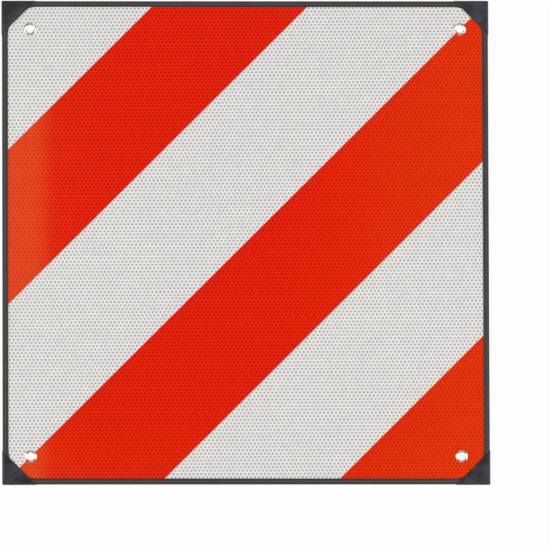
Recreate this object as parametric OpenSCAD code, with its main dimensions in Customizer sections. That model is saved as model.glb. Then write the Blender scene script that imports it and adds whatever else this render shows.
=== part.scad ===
// Reversible warning panel for a load that overhangs the back of a vehicle.
// An aluminium plate carries a honeycomb reflective sheet on each face, printed
// with three red stripes on the front and five on the back. A soft U-shaped trim
// runs round the plate's edge, a moulded cap covers each corner, and a brass
// eyelet is set near each corner for the straps.
// The panel lies on its back. +Z leaves the front face, and +Y is its upper edge.
// The origin is below its centre, on the plane of the caps' back faces.

/* [Plate] */
// Width of the aluminium plate
plate_w = 500; // [460:5:600]
// Height of the aluminium plate
plate_h = 500; // [460:5:600]
// Thickness of the aluminium plate
plate_t = 1; // [0.8:0.1:2]
// Radius of the plate's four corners
plate_corner_r = 35; // [32:1:40]

/* [Reflective sheets] */
// Thickness of the honeycomb sheet on each face
sheet_t = 0.4; // [0.2:0.05:0.6]
// How far each sheet stops short of the plate's edge
sheet_margin = 1; // [0.5:0.25:2]
// Thickness of the red print
print_t = 0.1; // [0.05:0.05:0.2]

/* [Front stripes] */
// Width of a red stripe on the front, square across it
front_red_w = 114; // [90:1:125]
// Width of the white field between two front stripes, square across it
front_white_w = 128; // [110:1:150]

/* [Back stripes] */
// Width of a red stripe on the back, square across it
back_red_w = 95.5; // [80:0.5:110]
// How far a corner's red runs past the middle of its eyelet, square across it
back_corner_past = 16.3; // [10:0.1:30]

/* [Edge trim] */
// Width of the trim as seen from the front
trim_face_w = 6; // [4:0.25:8]
// Thickness of each lip at its thickest
trim_lip_t = 1.2; // [0.9:0.1:1.6]
// Thickness of the web that runs along the plate's edge
trim_web_t = 1.3; // [1:0.1:2]
// Radius of the trim's outer edges
trim_edge_r = 1.1; // [0.6:0.1:1.3]
// Radius at the free end of each lip
trim_tip_r = 0.5; // [0.3:0.1:0.7]
// How far the lip's face falls from its crown to its free end
trim_fall = 0.25; // [0:0.05:0.4]
// Play between the web and the plate's edge
trim_web_play = 0.2; // [0.1:0.1:0.5]
// Play between a lip and the red print
trim_lip_play = 0.05; // [0.02:0.01:0.1]
// Gap of the butt joint where the strip's two ends meet
trim_joint_gap = 0.5; // [0.2:0.1:1.5]

/* [Corner caps] */
// Length of a cap's two outer sides
cap_leg = 36; // [28:0.5:44]
// Thickness of the cap's front and back skins
cap_skin_t = 1; // [0.8:0.1:1.6]
// Thickness of the cap's outer side walls
cap_side_t = 0.4; // [0.3:0.1:1.5]
// Radius of the cap's outer corner, as seen from the front
cap_corner_r = 1.6; // [1:0.1:5]
// How much of the cap's two pointed ends is cut off square
cap_end_cut = 0.5; // [0.3:0.1:2]
// Radius of the rounded rims of both skins, on the outer sides and on the long side
cap_rim_r = 2.4; // [1.5:0.1:2.8]
// Play between the cap and the trim inside it
cap_play = 0.1; // [0.05:0.05:0.3]
// Play between the trim's inner edge and the cap's catch behind it
cap_catch_play = 0.3; // [0.2:0.1:0.5]

/* [Eyelets] */
// Distance of each eyelet from the plate's two nearest edges
eyelet_inset = 27.5; // [25:0.5:60]
// Inner diameter of the eyelet
eyelet_bore_d = 8; // [6:0.5:10]
// Thickness of the eyelet's brass
eyelet_wall = 0.4; // [0.3:0.05:0.6]
// Width of the eyelet's front flange, from the bore to its rim
eyelet_flange_w = 2.5; // [1.5:0.25:4]
// How far the front flange stands above the print
eyelet_flange_h = 1.1; // [0.7:0.1:1.6]
// Width of the rolled end on the back, from the bore to its rim
eyelet_roll_w = 2; // [1.5:0.25:3]
// How far the rolled end stands above the print on the back
eyelet_roll_h = 1; // [0.7:0.1:1.2]
// Play between the eyelet's barrel and the hole punched for it
eyelet_hole_play = 0.05; // [0.02:0.01:0.2]

/* [Hidden] */

// Colours
aluminium = "#b9bcc0";
sheet_white = "#dcdedb";
print_red = "#e0290c";
trim_charcoal = "#47454b";
cap_black = "#3b3b41";
brass = "#d9c48a";

// Fineness of round shapes
$fn = 96;
arc_steps = 8;
crown_steps = 4;

// Heights above the panel's middle plane
sheet_z = plate_t / 2;
print_z = sheet_z + sheet_t;
face_z = print_z + print_t;
lip_z = face_z + trim_lip_play;
trim_z = lip_z + trim_lip_t;
pocket_z = trim_z + cap_play;
cap_z = pocket_z + cap_skin_t;

// The middle plane's height above the floor
mid_z = cap_z;

// How far the trim and the caps reach past the plate's edge
trim_out = trim_web_play + trim_web_t;
cap_out = trim_out + cap_play + cap_side_t;

// Radius of the trim's inner edge at a corner
trim_inner_r = plate_corner_r + trim_out - trim_face_w;

// Length of a cap's outer sides once its ends are cut, and radius of the rims of the pocket inside it
cap_cut_leg = cap_leg - cap_end_cut;
catch_leg = cap_leg - cap_skin_t;
pocket_rim_r = trim_edge_r + 2 * cap_play;

// The front's stripes are counted towards its lower right corner and the back's towards its lower left
front_turn = -45;
back_turn = -135;

// Longer than any stripe, before the sheet's outline trims it
stripe_reach = plate_w + plate_h;

// Distance from the panel's middle to where the back's corner stripes start, square across them
back_corner_start = (stripe_reach / 2 - 2 * eyelet_inset) / sqrt(2) - back_corner_past;

// Width of the white fields, which share the rest of that distance evenly
back_white_w = (back_corner_start - 1.5 * back_red_w) / 2;

// The barrel's outer radius and the hole punched for it
barrel_r = eyelet_bore_d / 2 + eyelet_wall;
hole_r = barrel_r + eyelet_hole_play;

// A little more than nothing, so that joined solids share some volume
bite = 0.05;

// Points along an arc round c from angle a to angle b
function arc(c, r, a, b, steps) =
    [for (i = [0:steps]) let (t = a + (b - a) * i / steps) c + r * [cos(t), sin(t)]];

// Points along an upright half ellipse round c, from angle a to angle b
function half_ellipse(c, half_w, height, a, b, steps) =
    [for (i = [0:steps]) let (t = a + (b - a) * i / steps) c + [half_w * cos(t), height * sin(t)]];

// Points mirrored in the middle plane, in the reverse order
function mirrored(points) =
    [for (i = [len(points) - 1:-1:0]) [points[i].x, -points[i].y]];

// Lifts what is modelled round the middle plane to its height above the floor
module lifted() {
    translate([0, 0, mid_z]) children();
}

// A flat rectangle with round corners, centred
module round_rect(w, h, r) {
    square([w - 2 * r, h], center = true);
    square([w, h - 2 * r], center = true);
    for (x = [-1, 1], y = [-1, 1])
        translate([x * (w / 2 - r), y * (h / 2 - r)]) circle(r);
}

// Moves to the middle of the eyelet on side x and side y
module at_eyelet(x, y) {
    translate([x * (plate_w / 2 - eyelet_inset), y * (plate_h / 2 - eyelet_inset)]) children();
}

// The outline of a punched layer that stops short of the plate's edge by margin
module layer_outline(margin) {
    difference() {
        round_rect(plate_w - 2 * margin, plate_h - 2 * margin, plate_corner_r - margin);
        for (x = [-1, 1], y = [-1, 1])
            at_eyelet(x, y) circle(hole_r);
    }
}

// The outline of one diagonal stripe, between two distances from the panel's middle
module stripe_outline(turn, from, to) {
    intersection() {
        layer_outline(sheet_margin);
        rotate(turn) translate([from, -stripe_reach]) square([to - from, 2 * stripe_reach]);
    }
}

module aluminium_plate() {
    color(aluminium) lifted()
        translate([0, 0, -plate_t / 2]) linear_extrude(plate_t) layer_outline(0);
}

// A honeycomb sheet on the front, side = 1, or on the back, side = -1
module reflective_sheet(side) {
    color(sheet_white) lifted()
        translate([0, 0, side > 0 ? sheet_z : -print_z])
            linear_extrude(sheet_t) layer_outline(sheet_margin);
}

// A red stripe on the front, between two distances from the panel's middle
module front_red_stripe(from, to) {
    color(print_red) lifted() translate([0, 0, print_z]) linear_extrude(print_t)
        stripe_outline(front_turn, from, to);
}

// A red stripe on the back, likewise
module back_red_stripe(from, to) {
    color(print_red) lifted() translate([0, 0, -face_z]) linear_extrude(print_t)
        stripe_outline(back_turn, from, to);
}

// The front's three stripes: the middle one starts on the diagonal, and the last fills its corner
module front_stripe_before() {
    front_red_stripe(-front_white_w - front_red_w, -front_white_w);
}

module front_stripe_middle() {
    front_red_stripe(0, front_red_w);
}

module front_stripe_corner() {
    front_red_stripe(front_red_w + front_white_w, stripe_reach);
}

// The back's middle stripe lies on the diagonal
module back_stripe_middle() {
    back_red_stripe(-back_red_w / 2, back_red_w / 2);
}

// The back's other stripes come in pairs, turned from side = 1 to side = -1 through half a turn
module back_stripe_between(side) {
    start = back_red_w / 2 + back_white_w;
    rotate(side > 0 ? 0 : 180) back_red_stripe(start, start + back_red_w);
}

module back_stripe_corner(side) {
    rotate(side > 0 ? 0 : 180) back_red_stripe(back_corner_start, stripe_reach);
}

// The trim's section: x is measured outwards from the plate's edge and y from the middle plane.
// Each lip is crowned, falls towards its free end and lies on the sheet.
module trim_section() {
    tip_x = trim_out - trim_face_w;
    tip_top = trim_z - trim_fall;
    edge_c = [trim_out - trim_edge_r, trim_z - trim_edge_r];
    tip_c = [tip_x + trim_tip_r, tip_top - trim_tip_r];
    upper = concat(
        arc(edge_c, trim_edge_r, 0, 90, arc_steps),
        [for (i = [1:crown_steps - 1]) let (t = i / crown_steps)
            [edge_c.x + (tip_c.x - edge_c.x) * t, trim_z - trim_fall * t * t]],
        arc(tip_c, trim_tip_r, 90, 180, arc_steps),
        [[tip_x, lip_z], [trim_web_play, lip_z]]
    );
    polygon(concat(upper, mirrored(upper)));
}

// A straight run of the trim along Y, with the plate's edge at x = 0
module trim_run(length) {
    rotate([90, 0, 0]) linear_extrude(length, center = true) trim_section();
}

// A quarter turn of the trim round a corner of the plate
module trim_bend() {
    rotate_extrude(angle = 90) translate([plate_corner_r, 0]) trim_section();
}

// The whole strip: four runs and four bends, cut where its ends meet under the lower right cap
module edge_trim() {
    run_w = plate_w - 2 * plate_corner_r;
    run_h = plate_h - 2 * plate_corner_r;
    color(trim_charcoal) lifted() difference() {
        union() {
            for (side = [0, 180]) rotate(side) {
                translate([plate_w / 2, 0, 0]) trim_run(run_h);
                translate([run_w / 2, run_h / 2, 0]) trim_bend();
            }
            for (side = [90, 270]) rotate(side) {
                translate([plate_h / 2, 0, 0]) trim_run(run_w);
                translate([run_h / 2, run_w / 2, 0]) trim_bend();
            }
        }
        translate([run_w / 2, -run_h / 2, 0]) rotate(-45)
            translate([0, -trim_joint_gap / 2, -cap_z])
                cube([plate_corner_r + 2 * trim_face_w, trim_joint_gap, 2 * cap_z]);
    }
}

// A slab that ends at x = 0 in two rounded rims. It runs along -X, and reaches h above and below
// the middle plane.
module rounded_slab(h, r) {
    run = 2 * cap_leg;
    rotate([90, 0, 0]) linear_extrude(2 * run, center = true) {
        translate([-run, -h]) square([run - r, 2 * h]);
        translate([-run, r - h]) square([run, 2 * (h - r)]);
        for (y = [-1, 1])
            translate([-r, y * (h - r)]) circle(r);
    }
}

// Two such slabs crossed, with the right-angled corner at the origin
module rounded_corner(h, r) {
    intersection() {
        rounded_slab(h, r);
        rotate(90) rounded_slab(h, r);
    }
}

// The cap's outer form: its right-angled corner is at the origin, and its legs run along -X and -Y
module cap_blank() {
    intersection() {
        rounded_corner(cap_z, cap_rim_r);
        translate([-cap_leg / 2, -cap_leg / 2, 0]) rotate(225) rounded_slab(cap_z, cap_rim_r);
        linear_extrude(2 * cap_z, center = true) {
            translate([-cap_cut_leg, -cap_cut_leg]) square([cap_cut_leg - cap_corner_r, cap_cut_leg]);
            translate([-cap_cut_leg, -cap_cut_leg]) square([cap_cut_leg, cap_cut_leg - cap_corner_r]);
            translate([-cap_corner_r, -cap_corner_r]) circle(cap_corner_r);
        }
    }
}

// The catch on the inside of one skin. It fills the space behind the trim's bend, down to the print.
module cap_catch() {
    bend_c = plate_corner_r + cap_out;
    translate([0, 0, face_z + cap_play])
        linear_extrude(pocket_z - face_z - cap_play + bite) intersection() {
            translate([-bend_c, -bend_c]) circle(trim_inner_r - cap_catch_play);
            polygon([[0, 0], [-catch_leg, 0], [0, -catch_leg]]);
        }
}

// A moulded cap over the corner on side x and side y, open towards the middle of the panel
module corner_cap(x, y) {
    turn = x > 0 ? (y > 0 ? 0 : -90) : (y > 0 ? 90 : 180);
    color(cap_black) lifted()
        translate([x * (plate_w / 2 + cap_out), y * (plate_h / 2 + cap_out), 0]) rotate(turn) {
            difference() {
                cap_blank();
                translate([-cap_side_t, -cap_side_t, 0]) rounded_corner(pocket_z, pocket_rim_r);
            }
            cap_catch();
            mirror([0, 0, 1]) cap_catch();
        }
}

// The eyelet's section, right of its axis. One even wall runs from the rim of the domed
// flange over into the bore, down the barrel and out again into the rolled end.
module eyelet_section() {
    bore_r = eyelet_bore_d / 2;
    flange_c = [bore_r + eyelet_flange_w / 2, face_z];
    roll_c = [bore_r + eyelet_roll_w / 2, -face_z];
    steps = 2 * arc_steps;
    polygon(concat(
        half_ellipse(flange_c, eyelet_flange_w / 2, eyelet_flange_h, 0, 180, steps),
        half_ellipse(roll_c, eyelet_roll_w / 2, eyelet_roll_h, 180, 360, steps),
        half_ellipse(roll_c, eyelet_roll_w / 2 - eyelet_wall, eyelet_roll_h - eyelet_wall,
            360, 180, steps),
        half_ellipse(flange_c, eyelet_flange_w / 2 - eyelet_wall, eyelet_flange_h - eyelet_wall,
            180, 0, steps)
    ));
}

// The eyelet on side x and side y
module eyelet(x, y) {
    color(brass) lifted() at_eyelet(x, y) rotate_extrude() eyelet_section();
}

aluminium_plate();
reflective_sheet(1);  // front_reflective_sheet
reflective_sheet(-1);  // back_reflective_sheet
front_stripe_before();  // front_red_stripe_1
front_stripe_middle();  // front_red_stripe_2
front_stripe_corner();  // front_red_stripe_3
back_stripe_corner(-1);  // back_red_stripe_1
back_stripe_between(-1);  // back_red_stripe_2
back_stripe_middle();  // back_red_stripe_3
back_stripe_between(1);  // back_red_stripe_4
back_stripe_corner(1);  // back_red_stripe_5
edge_trim();
corner_cap(-1, 1);  // corner_cap_top_left
corner_cap(1, 1);  // corner_cap_top_right
corner_cap(-1, -1);  // corner_cap_bottom_left
corner_cap(1, -1);  // corner_cap_bottom_right
eyelet(-1, 1);  // eyelet_top_left
eyelet(1, 1);  // eyelet_top_right
eyelet(-1, -1);  // eyelet_bottom_left
eyelet(1, -1);  // eyelet_bottom_right
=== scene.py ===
"""Looks of a reversible warning panel that lies on its back on a pale floor.

The panel is an aluminium plate with a honeycomb reflective sheet on each face. The
red stripes are printed on the sheets. A soft edge trim, four moulded corner caps and
four brass eyelets finish it. Lengths are in millimetres, apart from those of the lamps
and the floor, which are in metres.
"""

import logging
import math
from collections.abc import Callable, Iterator
from contextlib import contextmanager
from dataclasses import dataclass
from enum import Enum

import bmesh
import bpy
from bpy.types import Material, Node, NodeSocket, NodeTree, Object
from mathutils import Matrix, Vector

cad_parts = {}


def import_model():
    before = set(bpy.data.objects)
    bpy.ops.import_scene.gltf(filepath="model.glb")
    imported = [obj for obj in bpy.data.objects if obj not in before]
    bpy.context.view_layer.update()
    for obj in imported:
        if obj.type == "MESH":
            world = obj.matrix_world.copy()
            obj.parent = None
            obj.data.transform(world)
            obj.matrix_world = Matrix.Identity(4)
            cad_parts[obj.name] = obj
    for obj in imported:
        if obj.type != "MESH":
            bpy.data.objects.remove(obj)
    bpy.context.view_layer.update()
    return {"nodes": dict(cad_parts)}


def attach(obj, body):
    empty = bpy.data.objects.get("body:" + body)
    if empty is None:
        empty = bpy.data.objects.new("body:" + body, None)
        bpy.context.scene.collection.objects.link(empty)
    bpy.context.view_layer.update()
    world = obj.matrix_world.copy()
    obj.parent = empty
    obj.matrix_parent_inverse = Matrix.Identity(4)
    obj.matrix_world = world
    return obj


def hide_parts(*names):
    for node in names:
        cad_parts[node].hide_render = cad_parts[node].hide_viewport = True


LOG = logging.getLogger("warning_panel")
MM = 0.001
PANEL = "root"

# Two values that belong together, such as the two ends of a fade
Pair = tuple[float, float]
# What a socket is linked from: an output socket, or a node for its first one
Source = Node | NodeSocket


# Modelling bench


class Element(Enum):
    """What a selection in edit mode is made of, as Blender's three select modes."""

    POINTS = (True, False, False)
    EDGES = (False, True, False)
    FACES = (False, False, True)


class Combine(Enum):
    """What a tool does to a piece, by Blender's names."""

    CUT = "DIFFERENCE"
    JOIN = "UNION"
    CROSS = "INTERSECT"


def mm(*lengths: float) -> Vector:
    """Turns millimetres into a vector in metres."""
    return Vector(lengths) * MM


def near(length: float, other: float) -> bool:
    """Says whether two lengths in millimetres are the same to a hundredth."""
    return abs(length - other) < 0.01


def runs_along(direction: Vector, axis: int) -> bool:
    """Says whether a direction runs along an axis, either way."""
    return abs(direction[axis]) > 0.9


def select_only(piece: Object) -> None:
    """Selects one piece and makes it the active one."""
    bpy.ops.object.select_all(action="DESELECT")
    piece.select_set(True)
    bpy.context.view_layer.objects.active = piece


@contextmanager
def editing(piece: Object) -> Iterator[None]:
    """Opens one piece in edit mode with nothing selected, and closes it afterwards.

    Args:
        piece: The mesh object to shape.
    """
    select_only(piece)
    bpy.ops.object.mode_set(mode="EDIT")
    bpy.ops.mesh.select_all(action="DESELECT")
    yield
    bpy.ops.object.mode_set(mode="OBJECT")


def pick(piece: Object, element: Element, wanted: Callable[[Vector, Vector], bool]) -> None:
    """Selects, in edit mode, the points, edges or faces that a test wants.

    Args:
        piece: The mesh object that is open in edit mode.
        element: Whether points, edges or faces are tested.
        wanted: A test of an element's middle in millimetres and of its normal, or of an
            edge's direction.
    """
    bpy.ops.mesh.select_all(action="DESELECT")
    bpy.context.tool_settings.mesh_select_mode = element.value
    mesh = bmesh.from_edit_mesh(piece.data)
    mesh.normal_update()
    if element is Element.POINTS:
        for point in mesh.verts:
            point.select = wanted(point.co / MM, point.normal)
    elif element is Element.EDGES:
        for edge in mesh.edges:
            start, end = (point.co for point in edge.verts)
            edge.select = wanted((start + end) / 2 / MM, (end - start).normalized())
    else:
        for face in mesh.faces:
            face.select = wanted(face.calc_center_median() / MM, face.normal)
    mesh.select_flush_mode()
    bmesh.update_edit_mesh(piece.data)


def settle(piece: Object, name: str) -> Object:
    """Names a new primitive and moves its place, turn and size into its mesh.

    Args:
        piece: The new object.
        name: The piece's name.

    Returns:
        The same object, now at the origin.
    """
    select_only(piece)
    piece.name = piece.data.name = name
    bpy.ops.object.transform_apply(location=True, rotation=True, scale=True)
    return piece


def new_block(name: str, low: Vector, high: Vector) -> Object:
    """Adds a block between two corners, as the start of a piece.

    Args:
        name: The piece's name.
        low: The lowest corner, in metres.
        high: The highest corner, in metres.

    Returns:
        The block, with its place in its mesh.
    """
    bpy.ops.object.select_all(action="DESELECT")
    bpy.ops.mesh.primitive_cube_add(size=1, location=(low + high) / 2)
    block = bpy.context.object
    block.scale = high - low
    return settle(block, name)


def apply_modifiers(piece: Object) -> None:
    """Applies all of a piece's modifiers, in order."""
    select_only(piece)
    for modifier in list(piece.modifiers):
        bpy.ops.object.modifier_apply(modifier=modifier.name)


def combine(piece: Object, tool: Object, how: Combine) -> None:
    """Cuts a tool out of a piece, joins the two or keeps what they share, and removes the tool.

    Args:
        piece: The piece that is kept.
        tool: The mesh object it is combined with.
        how: What the tool does.
    """
    boolean = piece.modifiers.new("combine", "BOOLEAN")
    boolean.operation = how.value
    boolean.solver = "EXACT"
    boolean.object = tool
    apply_modifiers(piece)
    bpy.data.objects.remove(tool)


def tidy_mesh(piece: Object, merge: float = 0.002) -> None:
    """Merges doubled points and turns all faces outwards.

    Args:
        piece: The mesh object to tidy.
        merge: Points closer than this, in millimetres, become one.
    """
    with editing(piece):
        bpy.ops.mesh.select_all(action="SELECT")
        bpy.ops.mesh.remove_doubles(threshold=merge * MM)
        bpy.ops.mesh.normals_make_consistent(inside=False)


def smooth(piece: Object, degrees: float) -> None:
    """Shades a piece smooth, except across edges sharper than an angle."""
    select_only(piece)
    bpy.ops.object.shade_smooth_by_angle(angle=math.radians(degrees))


def turned_copy(piece: Object, name: str, degrees: float) -> Object:
    """Copies a piece with its own mesh and turns the copy round the panel's middle.

    Args:
        piece: The finished piece.
        name: The copy's name.
        degrees: The turn round the upright axis, anticlockwise from above.

    Returns:
        The copy, with its place in its mesh.
    """
    select_only(piece)
    bpy.ops.object.duplicate(linked=False)
    copy = bpy.context.object
    copy.rotation_euler = (0, 0, math.radians(degrees))
    return settle(copy, name)


def dress(piece: Object, material: Material) -> None:
    """Gives a whole piece one material."""
    piece.data.materials.clear()
    piece.data.materials.append(material)


def report(piece: Object) -> None:
    """Logs a piece's faces, and how many of its edges don't join exactly two of them."""
    mesh = bmesh.new()
    mesh.from_mesh(piece.data)
    open_edges = sum(1 for edge in mesh.edges if len(edge.link_faces) != 2)
    LOG.info("%s: %d faces, open edges %d", piece.name, len(mesh.faces), open_edges)
    mesh.free()


# Shader bench


def linear(hex_colour: str) -> tuple[float, float, float, float]:
    """Turns an sRGB hex colour into a linear one with full alpha.

    Args:
        hex_colour: Six hex digits after a hash sign.

    Returns:
        Red, green, blue and alpha.
    """
    channels = [int(hex_colour[i : i + 2], 16) / 255 for i in (1, 3, 5)]
    red, green, blue = (c / 12.92 if c <= 0.04045 else ((c + 0.055) / 1.055) ** 2.4 for c in channels)
    return red, green, blue, 1.0


def ends(way: str, pair: Pair, unit: float = 1.0) -> dict[str, float]:
    """Names a pair, given in a unit, as the two ends of a range's From or To side."""
    return {f"{way} Min": pair[0] * unit, f"{way} Max": pair[1] * unit}


def add_node(
    tree: NodeTree, kind: str, inputs: dict[str | int, object] | None = None, **settings: object
) -> Node:
    """Adds a node, sets its options and fills or links its sockets.

    Args:
        tree: The node tree.
        kind: The node's type, without the word ShaderNode in front.
        inputs: Values, or what to link from, by socket name or number.
        **settings: Options by attribute name.

    Returns:
        The new node.
    """
    node = tree.nodes.new("ShaderNode" + kind)
    for option, value in settings.items():
        setattr(node, option, value)
    for socket, value in (inputs or {}).items():
        if isinstance(value, Node):
            value = value.outputs[0]
        if isinstance(value, NodeSocket):
            tree.links.new(value, node.inputs[socket])
        else:
            node.inputs[socket].default_value = value
    return node


@dataclass(frozen=True)
class Finish:
    """A surface finish, named for the real material.

    Its relief is a depth and the share of it that shows, and its roughness is a range.
    """

    name: str
    relief: Pair
    roughness: Pair

    def start(self) -> tuple[Material, NodeTree, NodeSocket]:
        """Makes an empty material.

        Returns:
            The material, its node tree, and the object's own coordinates in metres.
        """
        material = bpy.data.materials.new(self.name)
        material.use_nodes = True
        material.node_tree.nodes.clear()
        place = add_node(material.node_tree, "TexCoord").outputs["Object"]
        return material, material.node_tree, place

    def finish(self, tree: NodeTree, look: dict[str, object], dulling: Source, height: Source) -> None:
        """Spreads the roughness and the relief over a shader and sends it to the surface.

        Args:
            tree: The node tree.
            look: The shader's other inputs by socket name.
            dulling: From 0 where the surface is smoothest to 1 where it is roughest.
            height: The relief's height, from 0 to 1.
        """
        roughness = add_node(tree, "MapRange", {"Value": dulling, **ends("To", self.roughness)})
        depth, strength = self.relief
        bump = add_node(tree, "Bump", {"Strength": strength, "Distance": depth * MM, "Height": height})
        shader = add_node(tree, "BsdfPrincipled", {**look, "Roughness": roughness, "Normal": bump})
        add_node(tree, "OutputMaterial", {"Surface": shader})

    def material(self) -> Material:
        """Builds the material."""
        raise NotImplementedError


@dataclass(frozen=True)
class HoneycombSheet(Finish):
    """Acrylic-faced reflective sheeting with a honeycomb of sealed cells.

    The seals show as a pale net, and the cells between them as soft grey dots. The clear
    film on top is smooth, so the sheet keeps a clean, narrow gloss. A net under a
    translucent ink takes the ink's colour.
    """

    name: str = "acrylic_honeycomb_sheeting"
    cell_colour: str = "#b5b1ae"
    net_colour: str = "#fbf9f7"
    cell_pitch: float = 4.103
    row_spacing: float = 3.513
    first_cell: Pair = (1.79, -1.79)
    askew: float = 0.23
    # How far from its middle a cell starts and ends its fade into the net
    cell_fade: Pair = (0.3, 2.0)
    cell_spread: float = 0.05
    cell_chroma: float = 0.03
    # Single beads are under 0.1 mm, so what shows is how their number drifts
    bead_drift: float = 1.3
    bead_fade: Pair = (0.25, 0.75)
    bead_spread: float = 0.08
    patch_size: float = 45.0
    patch_spread: float = 0.035
    relief: Pair = (0.03, 0.25)
    roughness: Pair = (0.1, 0.15)
    ior: float = 1.49

    def honeycomb(self, tree: NodeTree, place: NodeSocket) -> tuple[Source, Source]:
        """Draws the honeycomb from two interleaved grids of cell centres.

        Args:
            tree: The node tree.
            place: The object's own coordinates in metres.

        Returns:
            A value from 0 in a cell to 1 on the net, and the cell's own random colour.
        """
        # The sheet was laid a quarter of a degree askew on the plate
        laid = add_node(
            tree,
            "Mapping",
            {
                "Vector": place,
                "Location": mm(*self.first_cell, 0),
                "Rotation": (0, 0, math.radians(self.askew)),
            },
            vector_type="TEXTURE",
        )
        cell_size = (self.cell_pitch * MM, 2 * self.row_spacing * MM, 1.0)
        spread = add_node(tree, "VectorMath", {0: laid, 1: cell_size}, operation="DIVIDE")
        flat = add_node(tree, "VectorMath", {0: spread, 1: (1, 1, 0)}, operation="MULTIPLY")
        grids = []
        # One grid's centres are at whole numbers of cells, and the other's half way between
        for before, after in ((0.5, 0.0), (0.0, 0.5)):
            moved = add_node(tree, "VectorMath", {0: flat, 1: (before, before, 0)}, operation="ADD")
            floor = add_node(tree, "VectorMath", {0: moved}, operation="FLOOR")
            centre = add_node(tree, "VectorMath", {0: floor, 1: (after, after, 0)}, operation="ADD")
            offset = add_node(tree, "VectorMath", {0: flat, 1: centre}, operation="SUBTRACT")
            across = add_node(
                tree,
                "VectorMath",
                {0: offset, 1: (self.cell_pitch, 2 * self.row_spacing, 0)},
                operation="MULTIPLY",
            )
            length = add_node(tree, "VectorMath", {0: across}, operation="LENGTH").outputs["Value"]
            grids.append((centre, length))
        (centre_a, length_a), (centre_b, length_b) = grids
        nearer = add_node(tree, "Math", {0: length_b, 1: length_a}, operation="LESS_THAN")
        centre = add_node(
            tree, "Mix", {0: nearer, 4: centre_a, 5: centre_b}, data_type="VECTOR"
        ).outputs[1]
        distance = add_node(tree, "Math", {0: length_a, 1: length_b}, operation="MINIMUM")
        net = add_node(
            tree,
            "MapRange",
            {"Value": distance, **ends("From", self.cell_fade)},
            interpolation_type="SMOOTHSTEP",
        )
        chance = add_node(tree, "TexWhiteNoise", {"Vector": centre}, noise_dimensions="3D")
        return net, chance.outputs["Color"]

    def tone(self, tree: NodeTree, place: NodeSocket, net: Source) -> Source:
        """Colours the cells and the net.

        Args:
            tree: The node tree.
            place: The object's own coordinates in metres; not used here.
            net: The value from 0 in a cell to 1 on the net.

        Returns:
            The sheet's colour, still without its unevenness.
        """
        colours = {0: net, 6: linear(self.cell_colour), 7: linear(self.net_colour)}
        return add_node(tree, "Mix", colours, data_type="RGBA").outputs[2]

    def unevenness(self, tree: NodeTree, place: NodeSocket, chance: Source) -> Source:
        """Mixes the sheet's three kinds of unevenness into one tint.

        Args:
            tree: The node tree.
            place: The object's own coordinates in metres.
            chance: Each cell's random colour.

        Returns:
            A colour near white that the sheet's tone is multiplied with.
        """
        # Each sealed cell holds its own share of beads, so neighbours differ a little
        share = add_node(tree, "SeparateColor", {0: chance})
        cell_tone = add_node(
            tree, "MapRange", {"Value": share, **ends("To", (1 - self.cell_spread, 1.0))}
        )
        cell_tint = add_node(
            tree, "Mix", {0: self.cell_chroma, 6: (1, 1, 1, 1), 7: chance}, data_type="RGBA"
        ).outputs[2]
        beads = add_node(
            tree, "TexNoise", {"Vector": place, "Scale": 1 / (self.bead_drift * MM), "Detail": 2.0}
        )
        tones = (1 - self.bead_spread, 1 + self.bead_spread)
        bead_tone = add_node(
            tree, "MapRange", {"Value": beads, **ends("From", self.bead_fade), **ends("To", tones)}
        )
        patches = add_node(
            tree, "TexNoise", {"Vector": place, "Scale": 1 / (self.patch_size * MM), "Detail": 3.0}
        ).outputs["Color"]
        patch_tint = add_node(
            tree, "Mix", {0: self.patch_spread, 6: (1, 1, 1, 1), 7: patches}, data_type="RGBA"
        ).outputs[2]
        tone = add_node(tree, "Math", {0: cell_tone, 1: bead_tone}, operation="MULTIPLY")
        tint = add_node(tree, "VectorMath", {0: cell_tint, 1: patch_tint}, operation="MULTIPLY")
        return add_node(tree, "VectorMath", {0: tint, "Scale": tone}, operation="SCALE")

    def material(self) -> Material:
        """Builds the sheet: honeycomb tones, uneven cells and patches, and the film's gloss."""
        material, tree, place = self.start()
        net, chance = self.honeycomb(tree, place)
        colour = add_node(
            tree,
            "VectorMath",
            {0: self.tone(tree, place, net), 1: self.unevenness(tree, place, chance)},
            operation="MULTIPLY",
        )
        self.finish(tree, {"Base Color": colour, "IOR": self.ior}, net, net)
        return material


@dataclass(frozen=True)
class PaleBand:
    """A band along one axis where the red is mixed towards a paler tint, and that tint."""

    axis: int
    span: Pair
    most: float
    colour: str


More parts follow.
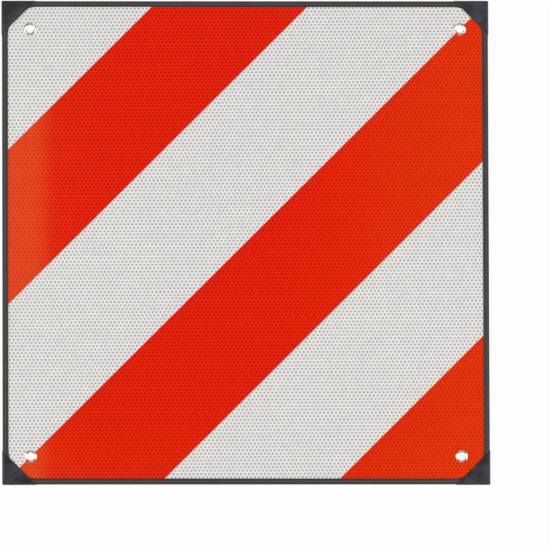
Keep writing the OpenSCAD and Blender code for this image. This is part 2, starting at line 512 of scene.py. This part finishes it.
@dataclass(frozen=True)
class RedPrint(HoneycombSheet):
    """Translucent red screen ink on the sheet, which lets the honeycomb show through.

    Along the left edge the red is painted paler and more orange, as a painted sheen of light.
    Towards the right and the foot it also turns a little paler and more orange.
    """

    name: str = "red_screen_ink_on_sheeting"
    cell_colour: str = "#db0000"
    net_colour: str = "#f32a06"
    sheen_and_pale_bands: tuple[PaleBand, ...] = (
        # The first two bands are a painted sheen along the left edge; the last two make the red paler
        # and more orange towards the right and the foot
        PaleBand(0, (-194.0, -222.0), 0.178, "#ff954a"),
        PaleBand(0, (-140.0, -218.0), 0.019, "#ff9540"),
        PaleBand(0, (20.0, 262.0), 0.091, "#ff8c00"),
        PaleBand(1, (-170.0, -240.0), 0.026, "#ff8c10"),
    )
    # Each band brightens the red most over the pale net, and by this share of it over the grey cells
    pale_over_cells: float = 0.65
    cell_spread: float = 0.04
    patch_spread: float = 0.05

    def tone(self, tree: NodeTree, place: NodeSocket, net: Source) -> Source:
        """Colours the ink over the cells and the net, and mixes in the pale bands one by one, the
        painted sheen along the left edge among them.

        Args:
            tree: The node tree.
            place: The object's own coordinates in metres.
            net: The value from 0 in a cell to 1 on the net.

        Returns:
            The ink's colour, still without its unevenness.
        """
        tone = super().tone(tree, place, net)
        ways = add_node(tree, "SeparateXYZ", {0: place}).outputs
        under = add_node(tree, "MapRange", {"Value": net, **ends("To", (self.pale_over_cells, 1.0))})
        # Mixes in each band: the painted sheen along the left edge, and the paler red towards the right
        # and the foot
        for band in self.sheen_and_pale_bands:
            paleness = add_node(
                tree,
                "MapRange",
                {"Value": ways[band.axis], **ends("From", band.span, MM), "To Max": band.most},
                interpolation_type="SMOOTHSTEP",
            )
            share = add_node(tree, "Math", {0: paleness, 1: under}, operation="MULTIPLY")
            colours = {0: share, 6: tone, 7: linear(band.colour)}
            tone = add_node(tree, "Mix", colours, data_type="RGBA").outputs[2]
        return tone


@dataclass(frozen=True)
class SoftTrim(Finish):
    """Extruded soft vinyl: charcoal, with a painted highlight along its crown, so that its edges look
    darker, and faint die lines.
    """

    name: str = "extruded_soft_vinyl"
    dark_colour: str = "#1c1b1e"
    # The colour of the painted highlight along the crown
    highlight_colour: str = "#39373c"
    # Where the crown's painted highlight starts and ends, out from the panel's middle, and its soft
    # edge
    crown: Pair = (246.7, 250.5)
    crown_fade: Pair = (0.0, 0.3)
    highlight_spread: Pair = (0.6, 1.3)
    die_line: float = 0.45
    blotch: float = 17.0
    # The real grain is about 0.1 mm, and drawn coarser so that it shows
    grain: float = 0.5
    relief: Pair = (0.05, 0.3)
    roughness: Pair = (0.34, 0.52)
    ior: float = 1.53

    def material(self) -> Material:
        """Builds the vinyl: a painted highlight on the crown, lengthwise die lines, fine grain and dull
        gloss.
        """
        material, tree, place = self.start()
        sides = add_node(tree, "VectorMath", {0: place}, operation="ABSOLUTE")
        ways = add_node(tree, "SeparateXYZ", {0: sides}).outputs
        outwards = add_node(tree, "Math", {0: ways[0], 1: ways[1]}, operation="MAXIMUM")
        inset = add_node(tree, "MapRange", {"Value": outwards, **ends("From", self.crown, MM)})
        ridge = add_node(tree, "Math", {0: inset, 1: 0.5}, operation="PINGPONG")
        crown = add_node(
            tree,
            "MapRange",
            {"Value": ridge, **ends("From", self.crown_fade)},
            interpolation_type="SMOOTHSTEP",
        )
        lines = add_node(
            tree,
            "TexNoise",
            {"W": outwards, "Scale": 1 / (self.die_line * MM), "Detail": 2.0},
            noise_dimensions="1D",
        )
        blotches = add_node(
            tree, "TexNoise", {"Vector": place, "Scale": 1 / (self.blotch * MM), "Detail": 4.0}
        )
        grain = add_node(
            tree, "TexNoise", {"Vector": place, "Scale": 1 / (self.grain * MM), "Detail": 2.0}
        )
        # The crown is painted lighter as a highlight, in uneven blotches, and the edges beside it stay
        # darker
        uneven = add_node(tree, "MapRange", {"Value": blotches, **ends("To", self.highlight_spread)})
        highlight_share = add_node(tree, "Math", {0: crown, 1: uneven}, operation="MULTIPLY", use_clamp=True)
        colours = {0: highlight_share, 6: linear(self.dark_colour), 7: linear(self.highlight_colour)}
        colour = add_node(tree, "Mix", colours, data_type="RGBA").outputs[2]
        height = add_node(tree, "Math", {0: grain, 1: lines}, operation="ADD")
        self.finish(tree, {"Base Color": colour, "IOR": self.ior}, lines, height)
        return material


@dataclass(frozen=True)
class MouldedCap(Finish):
    """Injection-moulded polyethylene: blue-black, with a satin skin and light handling marks."""

    name: str = "moulded_polyethylene"
    colour: str = "#191920"
    worn_colour: str = "#34343d"
    cloud: float = 14.0
    wear_fade: Pair = (0.35, 0.75)
    # The real spark grain is about 0.1 mm, and drawn coarser so that it shows
    grain: float = 0.6
    relief: Pair = (0.05, 0.25)
    roughness: Pair = (0.31, 0.5)
    ior: float = 1.51

    def material(self) -> Material:
        """Builds the plastic: cloudy rubbed patches, fine spark grain and a satin gloss."""
        material, tree, place = self.start()
        clouds = add_node(
            tree, "TexNoise", {"Vector": place, "Scale": 1 / (self.cloud * MM), "Detail": 6.0}
        )
        grain = add_node(
            tree, "TexNoise", {"Vector": place, "Scale": 1 / (self.grain * MM), "Detail": 3.0}
        )
        wear = add_node(
            tree,
            "MapRange",
            {"Value": clouds, **ends("From", self.wear_fade)},
            interpolation_type="SMOOTHSTEP",
        )
        colours = {0: wear, 6: linear(self.colour), 7: linear(self.worn_colour)}
        colour = add_node(tree, "Mix", colours, data_type="RGBA").outputs[2]
        self.finish(tree, {"Base Color": colour, "IOR": self.ior}, wear, grain)
        return material


@dataclass(frozen=True)
class RolledAluminium(Finish):
    """Mill-finish aluminium sheet: pale grey metal with fine lines along its rolling direction."""

    name: str = "mill_finish_aluminium"
    colour: str = "#c9cbce"
    line_colour: str = "#a9abaf"
    line_length: float = 80.0
    # The real lines are finer than 0.1 mm, and drawn coarser so that they show
    line_width: float = 0.3
    relief: Pair = (0.02, 0.2)
    roughness: Pair = (0.24, 0.46)

    def material(self) -> Material:
        """Builds the metal: stretched rolling lines in its roughness and relief."""
        material, tree, place = self.start()
        fine = 1 / (self.line_width * MM)
        stretched = add_node(
            tree, "Mapping", {"Vector": place, "Scale": (1 / (self.line_length * MM), fine, fine)}
        )
        lines = add_node(tree, "TexNoise", {"Vector": stretched, "Scale": 1.0, "Detail": 3.0})
        colours = {0: lines, 6: linear(self.colour), 7: linear(self.line_colour)}
        colour = add_node(tree, "Mix", colours, data_type="RGBA").outputs[2]
        self.finish(tree, {"Base Color": colour, "Metallic": 1.0}, lines, lines)
        return material


@dataclass(frozen=True)
class PressedBrass(Finish):
    """Pressed and barrelled brass: pale yellow metal, bright, with soft tumbling marks."""

    name: str = "pressed_brass"
    colour: str = "#f3ead0"
    tarnish_colour: str = "#cdbd90"
    tarnish_spot: float = 1.7
    tarnish_fade: Pair = (0.45, 0.8)
    most_tarnish: float = 0.6
    dent: float = 0.4
    relief: Pair = (0.03, 0.15)
    roughness: Pair = (0.12, 0.32)

    def material(self) -> Material:
        """Builds the brass: a thin uneven tarnish and fine dents from tumbling."""
        material, tree, place = self.start()
        film = add_node(
            tree, "TexNoise", {"Vector": place, "Scale": 1 / (self.tarnish_spot * MM), "Detail": 3.0}
        )
        dents = add_node(
            tree, "TexNoise", {"Vector": place, "Scale": 1 / (self.dent * MM), "Detail": 1.0}
        )
        tarnish = add_node(
            tree,
            "MapRange",
            {"Value": film, **ends("From", self.tarnish_fade), "To Max": self.most_tarnish},
            interpolation_type="SMOOTHSTEP",
        )
        colours = {0: tarnish, 6: linear(self.colour), 7: linear(self.tarnish_colour)}
        colour = add_node(tree, "Mix", colours, data_type="RGBA").outputs[2]
        self.finish(tree, {"Base Color": colour, "Metallic": 1.0}, tarnish, dents)
        return material


@dataclass(frozen=True)
class StudioPaper(Finish):
    """White studio paper. It shows to the camera and to glossy metal partly by its own glow.

    Round the panel enough of the paper shows for a soft shadow. Further off, over a fade in
    metres, it turns plain white, as paper does that is lit from behind.
    """

    name: str = "white_studio_paper"
    colour: str = "#fafaf9"
    fibre_colour: str = "#fdfdfd"
    fibre: float = 1.25
    own_white: float = 0.92
    white_fade: Pair = (0.5, 2.2)
    relief: Pair = (0.05, 0.1)
    roughness: Pair = (0.5, 0.5)

    def material(self) -> Material:
        """Builds the paper: a plain diffuse white for light, and a lifted white for the eye."""
        material, tree, place = self.start()
        fibres = add_node(
            tree, "TexNoise", {"Vector": place, "Scale": 1 / (self.fibre * MM), "Detail": 2.0}
        )
        colours = {0: fibres, 6: linear(self.colour), 7: linear(self.fibre_colour)}
        tone = add_node(tree, "Mix", colours, data_type="RGBA").outputs[2]
        depth, strength = self.relief
        tooth = add_node(tree, "Bump", {"Strength": strength, "Distance": depth * MM, "Height": fibres})
        paper = add_node(
            tree, "BsdfDiffuse", {"Color": tone, "Roughness": self.roughness[0], "Normal": tooth}
        )
        glow = add_node(tree, "Emission", {"Strength": 1.0})
        reach = add_node(tree, "VectorMath", {0: place}, operation="LENGTH").outputs["Value"]
        whites = ends("To", (self.own_white, 1.0))
        share = add_node(
            tree,
            "MapRange",
            {"Value": reach, **ends("From", self.white_fade), **whites},
            interpolation_type="SMOOTHSTEP",
        )
        seen = add_node(tree, "MixShader", {0: share, 1: paper, 2: glow})
        path = add_node(tree, "LightPath").outputs
        looked_at = path["Is Camera Ray"]
        for ray in ("Is Glossy Ray", "Is Transmission Ray"):
            rays = {0: looked_at, 1: path[ray]}
            looked_at = add_node(tree, "Math", rays, operation="ADD", use_clamp=True)
        shader = add_node(tree, "MixShader", {0: looked_at, 1: paper, 2: seen})
        add_node(tree, "OutputMaterial", {"Surface": shader})
        return material


# The panel


class Side(Enum):
    """The panel's two faces, each with the way it faces."""

    FRONT = 1
    BACK = -1


class Corner(Enum):
    """The panel's corners, each with its turn from the upper right one, in degrees."""

    TOP_RIGHT = 0
    TOP_LEFT = 90
    BOTTOM_LEFT = 180
    BOTTOM_RIGHT = 270

    def node(self, family: str) -> str:
        """Names the CAD node of that family at this corner."""
        return f"{family}_{self.name.lower()}"


@dataclass
class PrintedFace:
    """One face of the panel: its reflective sheet and the red stripes on it."""

    side: Side
    stripes: int

    def build(self, nodes: dict[str, Object], sheet: Material, ink: Material) -> None:
        """Dresses the sheet and the stripes, whose shapes are kept.

        Args:
            nodes: The CAD nodes by name.
            sheet: The reflective sheet's material.
            ink: The red print's material.
        """
        face = self.side.name.lower()
        dress(nodes[f"{face}_reflective_sheet"], sheet)
        for number in range(1, self.stripes + 1):
            dress(nodes[f"{face}_red_stripe_{number}"], ink)
        LOG.info("%s face: sheet and %d stripes dressed", face, self.stripes)


@dataclass
class EdgeTrim:
    """The U-shaped strip round the plate, with its butt joint under the lower right cap."""

    half_plate: float = 250.0
    corner_radius: float = 35.0
    outer_reach: float = 1.5
    web_inside: float = 0.2
    face_width: float = 6.0
    mid_height: float = 3.35
    half_height: float = 2.25
    half_slot: float = 1.05
    crown_fall: float = 0.25
    crown_parts: int = 5
    edge_radius: float = 1.1
    edge_steps: int = 5
    tip_radius: float = 0.5
    tip_steps: int = 4
    half_joint: float = 0.25
    bend_steps: int = 16

    def section(self) -> Object:
        """Models the strip's end face where the right run starts: a web, and two crowned lips.

        Returns:
            The flat U-shaped face, as a piece of its own.
        """
        run_start = self.corner_radius - self.half_plate
        outer = self.half_plate + self.outer_reach
        inner = self.half_plate + self.web_inside
        tip = outer - self.face_width
        bpy.ops.object.select_all(action="DESELECT")
        bpy.ops.mesh.primitive_plane_add(
            size=1,
            rotation=(math.pi / 2, 0, 0),
            location=mm((outer + inner) / 2, run_start, self.mid_height),
        )
        trim = bpy.context.object
        trim.scale = ((outer - inner) * MM, 2 * self.half_height * MM, 1)
        settle(trim, "edge_trim_strip")
        with editing(trim):
            for side in (Side.BACK, Side.FRONT):
                bpy.ops.mesh.select_all(action="SELECT")
                slot_side = mm(0, 0, self.mid_height + side.value * self.half_slot)
                bpy.ops.mesh.bisect(plane_co=slot_side, plane_no=(0, 0, 1))
            for side in (Side.BACK, Side.FRONT):
                pick(trim, Element.EDGES, lambda m, d: near(m.x, inner) and self.in_lip(m, side))
                bpy.ops.mesh.extrude_edges_move(TRANSFORM_OT_translate={"value": mm(tip - inner, 0, 0)})
            bpy.ops.mesh.select_all(action="SELECT")
            bpy.ops.mesh.dissolve_faces()
            for side in (Side.BACK, Side.FRONT):
                self.shape_lip(trim, side, tip, outer)
        return trim

    def in_lip(self, spot: Vector, side: Side) -> bool:
        """Says whether a spot lies on that side of the slot, and not on the slot's own face."""
        height = side.value * (spot.z - self.mid_height)
        return height > self.half_slot and not near(height, self.half_slot)

    def shape_lip(self, trim: Object, side: Side, tip: float, outer: float) -> None:
        """Crowns one lip of the open section and rounds its two outer corners.

        Args:
            trim: The section, open in edit mode.
            side: Which lip.
            tip: Where the lip's free end is, from the panel's middle.
            outer: Where the strip's outer side is.
        """
        level = self.mid_height + side.value * self.half_height
        pick(
            trim,
            Element.POINTS,
            lambda m, n: near(m.z, level) and not near(m.x, tip) and not near(m.x, outer),
        )
        bpy.ops.mesh.dissolve_verts()
        pick(trim, Element.EDGES, lambda m, d: near(m.z, level))
        bpy.ops.mesh.subdivide(number_cuts=self.crown_parts - 1)
        flat_end = outer - self.edge_radius
        for part in range(self.crown_parts):
            spot = tip + part / self.crown_parts * self.face_width
            drop = self.crown_fall * max(0.0, (flat_end - spot) / (flat_end - tip)) ** 2
            pick(trim, Element.POINTS, lambda m, n: near(m.z, level) and near(m.x, spot))
            bpy.ops.transform.translate(value=mm(0, 0, -side.value * drop))
        corners = (
            (outer, self.edge_radius, self.edge_steps),
            (tip, self.tip_radius, self.tip_steps),
        )
        for across, radius, steps in corners:
            pick(trim, Element.POINTS, lambda m, n: near(m.x, across) and self.in_lip(m, side))
            bpy.ops.mesh.bevel(
                offset=radius * MM, segments=steps, affect="VERTICES", clamp_overlap=False
            )

    def pick_end(self, trim: Object, place: Vector, facing: Vector) -> None:
        """Selects the strip's open end at a place.

        Args:
            trim: The strip, open in edit mode.
            place: The middle of the plate's edge there, in millimetres.
            facing: The way along the strip.
        """
        pick(
            trim,
            Element.FACES,
            lambda m, n: abs(n.dot(facing)) > 0.999 and (m - place).length < self.face_width,
        )

    def build(self, vinyl: Material) -> None:
        """Runs the section up the right side and on round the panel, back to its own start.

        Args:
            vinyl: The trim's material.
        """
        trim = self.section()
        straight = self.half_plate - self.corner_radius
        quarter = math.pi / 2
        # The joint is half way round the lower right corner, so both ends stop half a quarter on
        last = quarter / 2 - self.half_joint / self.corner_radius
        with editing(trim):
            bpy.ops.mesh.select_all(action="SELECT")
            for x, y, ahead in ((1, 1, (0, 1)), (-1, 1, (-1, 0)), (-1, -1, (0, -1)), (1, -1, (1, 0))):
                run = mm(*ahead, 0) * 2 * straight
                bpy.ops.mesh.extrude_region_move(TRANSFORM_OT_translate={"value": run})
                turn = last if (x, y) == (1, -1) else quarter
                bpy.ops.mesh.spin(
                    steps=self.bend_steps if turn == quarter else self.bend_steps // 2,
                    angle=-turn,
                    center=mm(x * straight, y * straight, self.mid_height),
                    axis=(0, 0, 1),
                )
            start = Vector((self.half_plate, -straight, self.mid_height))
            self.pick_end(trim, start, Vector((0, 1, 0)))
            bpy.ops.mesh.spin(
                steps=self.bend_steps // 2,
                angle=last,
                center=mm(straight, -straight, self.mid_height),
                axis=(0, 0, 1),
            )
        tidy_mesh(trim)
        smooth(trim, 35)
        dress(trim, vinyl)
        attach(trim, PANEL)
        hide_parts("edge_trim")
        report(trim)


@dataclass
class CornerCaps:
    """Four moulded triangular caps, each a hollow pocket over one corner of the trim."""

    half_plate: float = 250.0
    reach: float = 2.0
    leg: float = 36.0
    end_cut: float = 0.5
    half_height: float = 3.35
    side_wall: float = 0.4
    skin: float = 1.0
    corner_radius: float = 1.6
    corner_steps: int = 8
    rim_radius: float = 2.4
    pocket_rim_radius: float = 1.3
    rim_steps: int = 10
    bend_radius: float = 35.0
    catch_radius: float = 30.2
    catch_from: float = 1.1
    catch_root: float = 0.05
    bend_facets: int = 128
    # Tools that cut flush reach this much further, so that no two faces lie in one plane
    hair: float = 0.002

    def slab(self, name: str, face_at: float, half_height: float, rim: float, degrees: float) -> Object:
        """Models a long slab with one side whose two rims are rounded.

        Args:
            name: The piece's name.
            face_at: Where that side is, from the panel's middle.
            half_height: How far it reaches above and below the panel's middle plane.
            rim: The rims' radius.
            degrees: The way that side faces, anticlockwise from the panel's right.

        Returns:
            The slab.
        """
        span = self.half_plate + self.leg
        slab = new_block(
            name,
            mm(face_at - 2 * self.leg, -span, self.half_height - half_height),
            mm(face_at, span, self.half_height + half_height),
        )
        with editing(slab):
            pick(slab, Element.EDGES, lambda m, d: runs_along(d, 1) and near(m.x, face_at))
            bpy.ops.mesh.bevel(offset=rim * MM, segments=self.rim_steps)
        slab.rotation_euler = (0, 0, math.radians(degrees))
        return settle(slab, name)

    def rounded_corner(self, name: str, outside: float, half_height: float, rim: float) -> Object:
        """Crosses two slabs, so that both outer sides have rounded rims that meet in a mitre.

        Args:
            name: The piece's name.
            outside: Where the two sides are, from the panel's middle.
            half_height: How far they reach above and below the panel's middle plane.
            rim: The rims' radius.

        Returns:
            The crossed form at the upper right corner.
        """
        corner = self.slab(name, outside, half_height, rim, 0)
        across = self.slab("across", outside, half_height + self.hair, rim, 90)
        combine(corner, across, Combine.CROSS)
        return corner

    def plan(self, name: str, low: float, high: float, wall: float = 0.0) -> Object:
        """Models the square block that cuts the pointed ends off and rounds the outer corner.

        Args:
            name: The piece's name.
            low: Its lower height above the panel's middle plane.
            high: Its upper height.
            wall: How far it stays inside the cap's outer sides, round the corner too. Its
                other two sides reach past the cap's ends by as much.

        Returns:
            The block at the upper right corner.
        """
        outside = self.half_plate + self.reach + self.hair - wall
        inside = self.half_plate + self.reach - self.leg + self.end_cut - wall
        block = new_block(
            name,
            mm(inside, inside, self.half_height + low),
            mm(outside, outside, self.half_height + high),
        )
        with editing(block):
            pick(
                block,
                Element.EDGES,
                lambda m, d: runs_along(d, 2) and near(m.x, outside) and near(m.y, outside),
            )
            bpy.ops.mesh.bevel(offset=(self.corner_radius - wall) * MM, segments=self.corner_steps)
        return block

    def blank(self) -> Object:
        """Models the outer form: crossed rounded sides, a rounded long side and blunt ends.

        Returns:
            The solid blank.
        """
        outside = self.half_plate + self.reach
        cap = self.rounded_corner("corner_cap", outside, self.half_height, self.rim_radius)
        long_side = self.slab(
            "long_side",
            (self.leg - 2 * outside) / math.sqrt(2),
            self.half_height + 2 * self.hair,
            self.rim_radius,
            225,
        )
        combine(cap, long_side, Combine.CROSS)
        tall = 2 * self.half_height
        combine(cap, self.plan("plan", -tall, tall), Combine.CROSS)
        return cap

    def hollow(self) -> Object:
        """Models the pocket's space, round at the corner so that the wall there stays as thick.

        Returns:
            The space, as a tool to cut with.
        """
        hollow = self.rounded_corner(
            "hollow",
            self.half_plate + self.reach - self.side_wall,
            self.half_height - self.skin,
            self.pocket_rim_radius,
        )
        tall = 2 * self.half_height
        combine(hollow, self.plan("hollow_plan", -tall, tall, self.side_wall), Combine.CROSS)
        return hollow

    def catch(self, side: Side) -> Object:
        """Models the catch that fills the space behind the trim's bend, under one skin.

        Args:
            side: Which skin.

        Returns:
            The catch, which runs a little into the skin.
        """
        root = self.half_height - self.skin + self.catch_root
        low, high = sorted((side.value * self.catch_from, side.value * root))
        catch = self.plan("catch", low, high)
        corner = self.half_plate + self.reach
        with editing(catch):
            bpy.ops.mesh.select_all(action="SELECT")
            bpy.ops.mesh.bisect(
                plane_co=mm(corner - self.leg + self.skin, corner, 0),
                plane_no=(-1, -1, 0),
                use_fill=True,
                clear_outer=True,
            )
        centre = self.half_plate - self.bend_radius
        bpy.ops.object.select_all(action="DESELECT")
        bpy.ops.mesh.primitive_cylinder_add(
            vertices=self.bend_facets,
            radius=self.catch_radius * MM,
            depth=4 * self.half_height * MM,
            location=mm(centre, centre, self.half_height),
        )
        combine(catch, settle(bpy.context.object, "bend"), Combine.CROSS)
        return catch

    def build(self, plastic: Material) -> None:
        """Models one cap, and turns copies of it to all four corners.

        Args:
            plastic: The caps' material.
        """
        cap = self.blank()
        combine(cap, self.hollow(), Combine.CUT)
        for side in Side:
            combine(cap, self.catch(side), Combine.JOIN)
        tidy_mesh(cap)
        smooth(cap, 35)
        dress(cap, plastic)
        for place in Corner:
            copy = turned_copy(cap, f"cap_{place.name.lower()}", place.value)
            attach(copy, PANEL)
            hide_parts(place.node("corner_cap"))
            report(copy)
        bpy.data.objects.remove(cap)


@dataclass
class Eyelets:
    """Four pressed eyelets, each one turned wall from the domed flange to the rolled end."""

    place: float = 222.5
    mid_height: float = 3.35
    print_level: float = 1.0
    bore_radius: float = 4.0
    wall: float = 0.4
    flange_width: float = 2.5
    flange_height: float = 1.1
    roll_width: float = 2.0
    roll_height: float = 1.0
    arc_steps: int = 14
    facets: int = 72

    def flare(self, eyelet: Object, side: Side, width: float, height: float) -> None:
        """Rolls one end of the barrel outwards through half an ellipse.

        Args:
            eyelet: The barrel, open in edit mode.
            side: Which end.
            width: From the bore to the rim.
            height: How far the crest stands above the print.
        """
        level = self.mid_height + side.value * self.print_level
        pick(eyelet, Element.EDGES, lambda m, d: near(m.z, level))
        radius, rise = self.bore_radius, 0.0
        for step in range(1, self.arc_steps + 1):
            angle = math.pi * step / self.arc_steps
            next_radius = self.bore_radius + width / 2 * (1 - math.cos(angle))
            next_rise = height * math.sin(angle)
            bpy.ops.mesh.extrude_edges_move(
                TRANSFORM_OT_translate={"value": mm(0, 0, side.value * (next_rise - rise))}
            )
            grow = next_radius / radius
            bpy.ops.transform.resize(
                value=(grow, grow, 1), center_override=mm(self.place, self.place, level)
            )
            radius, rise = next_radius, next_rise

    def outward_offset(self, eyelet: Object) -> float:
        """Finds which way the wall's thickness goes so that the bore keeps its size.

        Args:
            eyelet: The open shell.

        Returns:
            1 where the barrel's faces point away from the axis, and otherwise -1.
        """
        barrel = next(f for f in eyelet.data.polygons if near(f.center.z / MM, self.mid_height))
        away = barrel.center - mm(self.place, self.place, self.mid_height)
        return math.copysign(1.0, barrel.normal.dot(away))

    def build(self, brass: Material) -> None:
        """Models one eyelet, and turns copies of it to all four corners.

        Args:
            brass: The eyelets' material.
        """
        bpy.ops.object.select_all(action="DESELECT")
        bpy.ops.mesh.primitive_cylinder_add(
            vertices=self.facets,
            radius=self.bore_radius * MM,
            depth=2 * self.print_level * MM,
            end_fill_type="NOTHING",
            location=mm(self.place, self.place, self.mid_height),
        )
        eyelet = settle(bpy.context.object, "eyelet")
        with editing(eyelet):
            self.flare(eyelet, Side.FRONT, self.flange_width, self.flange_height)
            self.flare(eyelet, Side.BACK, self.roll_width, self.roll_height)
        tidy_mesh(eyelet)
        thicken = eyelet.modifiers.new("wall", "SOLIDIFY")
        thicken.thickness = self.wall * MM
        thicken.offset = self.outward_offset(eyelet)
        apply_modifiers(eyelet)
        smooth(eyelet, 40)
        dress(eyelet, brass)
        for corner in Corner:
            copy = turned_copy(eyelet, f"brass_eyelet_{corner.name.lower()}", corner.value)
            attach(copy, PANEL)
            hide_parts(corner.node("eyelet"))
            report(copy)
        bpy.data.objects.remove(eyelet)


# The studio


@dataclass
class Softbox:
    """One soft lamp that faces the panel, with its place as seen from the panel's middle.

    Its brightness is what a white card would show if it were as bright.
    """

    name: str
    azimuth: float
    brightness: float
    elevation: float = 48.0
    distance: float = 2.3
    width: float = 1.5
    height: float = 2.2
    colour: str = "#ffffff"

    def build(self) -> None:
        """Hangs the lamp."""
        around, up = math.radians(self.azimuth), math.radians(self.elevation)
        way = Vector((math.cos(up) * math.cos(around), math.cos(up) * math.sin(around), math.sin(up)))
        bpy.ops.object.select_all(action="DESELECT")
        bpy.ops.object.light_add(type="AREA", location=way * self.distance)
        lamp = bpy.context.object
        lamp.name = lamp.data.name = self.name
        lamp.data.shape = "RECTANGLE"
        lamp.data.size = self.width
        lamp.data.size_y = self.height
        lamp.data.energy = self.brightness * self.width * self.height * math.pi
        lamp.data.color = linear(self.colour)[:3]
        lamp.rotation_euler = (-way).to_track_quat("-Z", "Y").to_euler()
        lamp.visible_camera = False
        LOG.info("softbox %s hung", self.name)


@dataclass
class Studio:
    """A wide white floor, soft boxes on four sides, and a dim room above them."""

    floor_half_width: float = 12.0
    # How steeply up the room's light starts and ends its fade, as a share of straight up
    horizon: Pair = (0.1, 0.22)
    horizon_white: float = 1.0
    room_grey: float = 0.04
    lamps: tuple[Softbox, ...] = (
        Softbox("key_left", 180, 2.9),
        Softbox("key_top", 90, 0.55),
        Softbox("fill_right", 0, 3.05),
        Softbox("fill_bottom", 270, 0.75),
        Softbox("sheen_left", 146, 1.1, 78, 2.45, 0.34, 0.2, "#fff3d0"),
    )

    def build(self, paper: Material) -> None:
        """Lays the floor, hangs the lamps and sets the room's own light.

        Args:
            paper: The floor's material.
        """
        bpy.ops.object.select_all(action="DESELECT")
        bpy.ops.mesh.primitive_plane_add(size=2 * self.floor_half_width)
        floor = bpy.context.object
        floor.name = floor.data.name = "studio_floor"
        dress(floor, paper)
        for lamp in self.lamps:
            lamp.build()
        self.build_room()

    def build_room(self) -> None:
        """Sets the world: white at the horizon, behind the floor, and dim grey above."""
        world = bpy.data.worlds.new("studio_room")
        bpy.context.scene.world = world
        world.use_nodes = True
        tree = world.node_tree
        tree.nodes.clear()
        way = add_node(tree, "TexCoord").outputs["Generated"]
        height = add_node(tree, "SeparateXYZ", {0: way}).outputs[2]
        whites = ends("To", (self.horizon_white, self.room_grey))
        strength = add_node(
            tree,
            "MapRange",
            {"Value": height, **ends("From", self.horizon), **whites},
            interpolation_type="SMOOTHSTEP",
        )
        glow = add_node(tree, "Background", {"Color": (1, 1, 1, 1), "Strength": strength})
        add_node(tree, "OutputWorld", {"Surface": glow})


@dataclass
class PanelCamera:
    """A very long lens that looks almost straight down, with the panel up and left in its frame.

    It stands a little towards the panel's lower edge, and a touch to the left of its middle.
    """

    across: float = 30.24
    along: float = -31.3
    face_height: float = 4.35
    distance: float = 20000.0
    frame_width: float = 568.3
    lean_down: float = 6.95
    lean_left: float = 1.56
    sensor: float = 36.0

    def build(self) -> None:
        """Sets the camera up, level with the panel's rows, and makes it the scene's."""
        down, left = math.sin(math.radians(self.lean_down)), math.sin(math.radians(self.lean_left))
        back = Vector((-left, -down, math.sqrt(1 - down**2 - left**2)))
        upright = Vector((0, back.z, -back.y)).normalized()
        turn = Matrix((upright.cross(back), upright, back)).transposed()
        target = mm(self.across, self.along, self.face_height)
        bpy.ops.object.select_all(action="DESELECT")
        bpy.ops.object.camera_add(location=target + back * self.distance * MM, rotation=turn.to_euler())
        camera = bpy.context.object
        camera.name = camera.data.name = "panel_camera"
        camera.data.sensor_width = self.sensor
        camera.data.lens = self.sensor * self.distance / self.frame_width
        camera.data.clip_end = 5 * self.distance * MM
        bpy.context.scene.camera = camera
        LOG.info("camera set, lens %.0f mm", camera.data.lens)


def main() -> None:
    """Builds the panel's pieces and its studio in order."""
    logging.basicConfig(level=logging.INFO, format="%(name)s: %(message)s")
    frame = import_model()
    nodes = frame["nodes"]
    PanelCamera().build()
    dress(nodes["aluminium_plate"], RolledAluminium().material())
    LOG.info("aluminium plate dressed")
    sheet = HoneycombSheet().material()
    ink = RedPrint().material()
    PrintedFace(Side.FRONT, 3).build(nodes, sheet, ink)
    PrintedFace(Side.BACK, 5).build(nodes, sheet, ink)
    EdgeTrim().build(SoftTrim().material())
    CornerCaps().build(MouldedCap().material())
    Eyelets().build(PressedBrass().material())
    Studio().build(StudioPaper().material())
    bpy.context.scene.view_settings.view_transform = "Standard"


if __name__ == "__main__":
    main()
